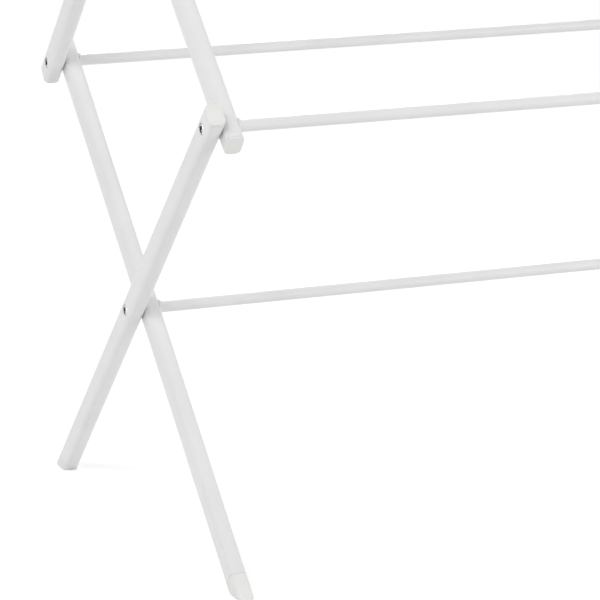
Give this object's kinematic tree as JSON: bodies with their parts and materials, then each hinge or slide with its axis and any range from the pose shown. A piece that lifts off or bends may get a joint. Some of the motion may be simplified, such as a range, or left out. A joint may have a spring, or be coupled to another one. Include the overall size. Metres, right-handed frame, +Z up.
{
  "type": "clothes drying rack",
  "caption": "Free-standing folding clothes drying rack: stacked scissor side frames of white flat-sided tube, joined by round rods, that folds flat.",
  "frame": {"origin": "on the floor under the middle of the rack, as it stands open", "axes": "+Z up; X along the rods; -Y towards the front, where the lower inner legs stand"},
  "size_m": [0.7514, 0.398, 0.9673],
  "materials": {
    "tube_paint": "white powder coat, satin",
    "rod_paint": "white powder coat, satin",
    "arm_paint": "white powder coat, satin",
    "cap_plastic": "moulded white plastic, fine matt",
    "foot_plastic": "moulded white plastic, fine matt",
    "collar_plastic": "moulded white plastic",
    "washer_plastic": "natural nylon",
    "screw_steel": "bright zinc plate",
    "insert_steel": "bright zinc plate"
  },
  "bodies": {
    "lower_inner_frame": {"lower_inner_tube_left": "tube_paint", "lower_inner_tube_right": "tube_paint", "lower_cross_rod": "rod_paint", "first_back_rod": "rod_paint", "front_foot_left": "foot_plastic", "front_foot_right": "foot_plastic", "lower_inner_end_caps": "cap_plastic", "lower_pivot_screws": "screw_steel", "lower_pivot_washers": "washer_plastic", "lower_rod_collars": "collar_plastic", "lower_rod_inserts": "insert_steel"},
    "lower_outer_frame": {"lower_outer_tube_left": "tube_paint", "lower_outer_tube_right": "tube_paint", "back_foot_left": "foot_plastic", "back_foot_right": "foot_plastic", "lower_outer_end_caps": "cap_plastic"},
    "middle_inner_frame": {"middle_inner_tube_left": "tube_paint", "middle_inner_tube_right": "tube_paint", "first_front_rod": "rod_paint", "middle_cross_rod": "rod_paint", "second_back_rod": "rod_paint", "middle_inner_end_caps": "cap_plastic", "middle_pivot_screws": "screw_steel", "middle_pivot_washers": "washer_plastic", "middle_rod_collars": "collar_plastic", "middle_rod_inserts": "insert_steel"},
    "middle_outer_frame": {"middle_outer_tube_left": "tube_paint", "middle_outer_tube_right": "tube_paint", "middle_outer_end_caps": "cap_plastic"},
    "upper_inner_frame": {"upper_inner_tube_left": "tube_paint", "upper_inner_tube_right": "tube_paint", "second_front_rod": "rod_paint", "upper_cross_rod": "rod_paint", "top_back_rod": "rod_paint", "upper_inner_end_caps": "cap_plastic", "upper_pivot_screws": "screw_steel", "top_back_screws": "screw_steel", "upper_pivot_washers": "washer_plastic", "upper_rod_collars": "collar_plastic", "upper_rod_inserts": "insert_steel"},
    "upper_outer_frame": {"upper_outer_tube_left": "tube_paint", "upper_outer_tube_right": "tube_paint", "top_front_rod": "rod_paint", "upper_outer_end_caps": "cap_plastic", "top_front_screws": "screw_steel", "top_front_rod_collars": "collar_plastic", "top_front_rod_inserts": "insert_steel"},
    "left_lock_arm": {"lock_arm_left": "arm_paint"},
    "right_lock_arm": {"lock_arm_right": "arm_paint"}
  },
  "joints": [
    {"name": "fold", "type": "hinge", "parent": "lower_inner_frame", "child": "lower_outer_frame", "pos_m": [0, 0, 0.16303], "axis": [-1, 0, 0], "range_deg": [0, 93.2]},
    {"name": "middle_outer_pivot", "type": "hinge", "parent": "lower_inner_frame", "child": "middle_outer_frame", "pos_m": [0, 0.18113, 0.32049], "axis": [-1, 0, 0], "range_deg": [0, 93.2]},
    {"name": "middle_crossing", "type": "hinge", "parent": "middle_outer_frame", "child": "middle_inner_frame", "pos_m": [0, 0, 0.47794], "axis": [-1, 0, 0], "range_deg": [-93.2, 0]},
    {"name": "upper_inner_pivot", "type": "hinge", "parent": "middle_outer_frame", "child": "upper_inner_frame", "pos_m": [0, -0.18113, 0.63539], "axis": [-1, 0, 0], "range_deg": [-93.2, 0]},
    {"name": "upper_outer_pivot", "type": "hinge", "parent": "middle_inner_frame", "child": "upper_outer_frame", "pos_m": [0, 0.18113, 0.63539], "axis": [-1, 0, 0], "range_deg": [0, 93.2]},
    {"name": "left_lock", "type": "hinge", "parent": "upper_inner_frame", "child": "left_lock_arm", "pos_m": [-0.3487, 0.18113, 0.9503], "axis": [1, 0, 0], "range_deg": [0, 38]},
    {"name": "right_lock", "type": "hinge", "parent": "upper_inner_frame", "child": "right_lock_arm", "pos_m": [0.3487, 0.18113, 0.9503], "axis": [1, 0, 0], "range_deg": [0, 38]}
  ],
  "couplings": [
    {"joint": "middle_outer_pivot", "follows": "fold", "ratio": 1},
    {"joint": "middle_crossing", "follows": "fold", "ratio": -1},
    {"joint": "upper_inner_pivot", "follows": "fold", "ratio": -1},
    {"joint": "upper_outer_pivot", "follows": "fold", "ratio": 1}
  ]
}
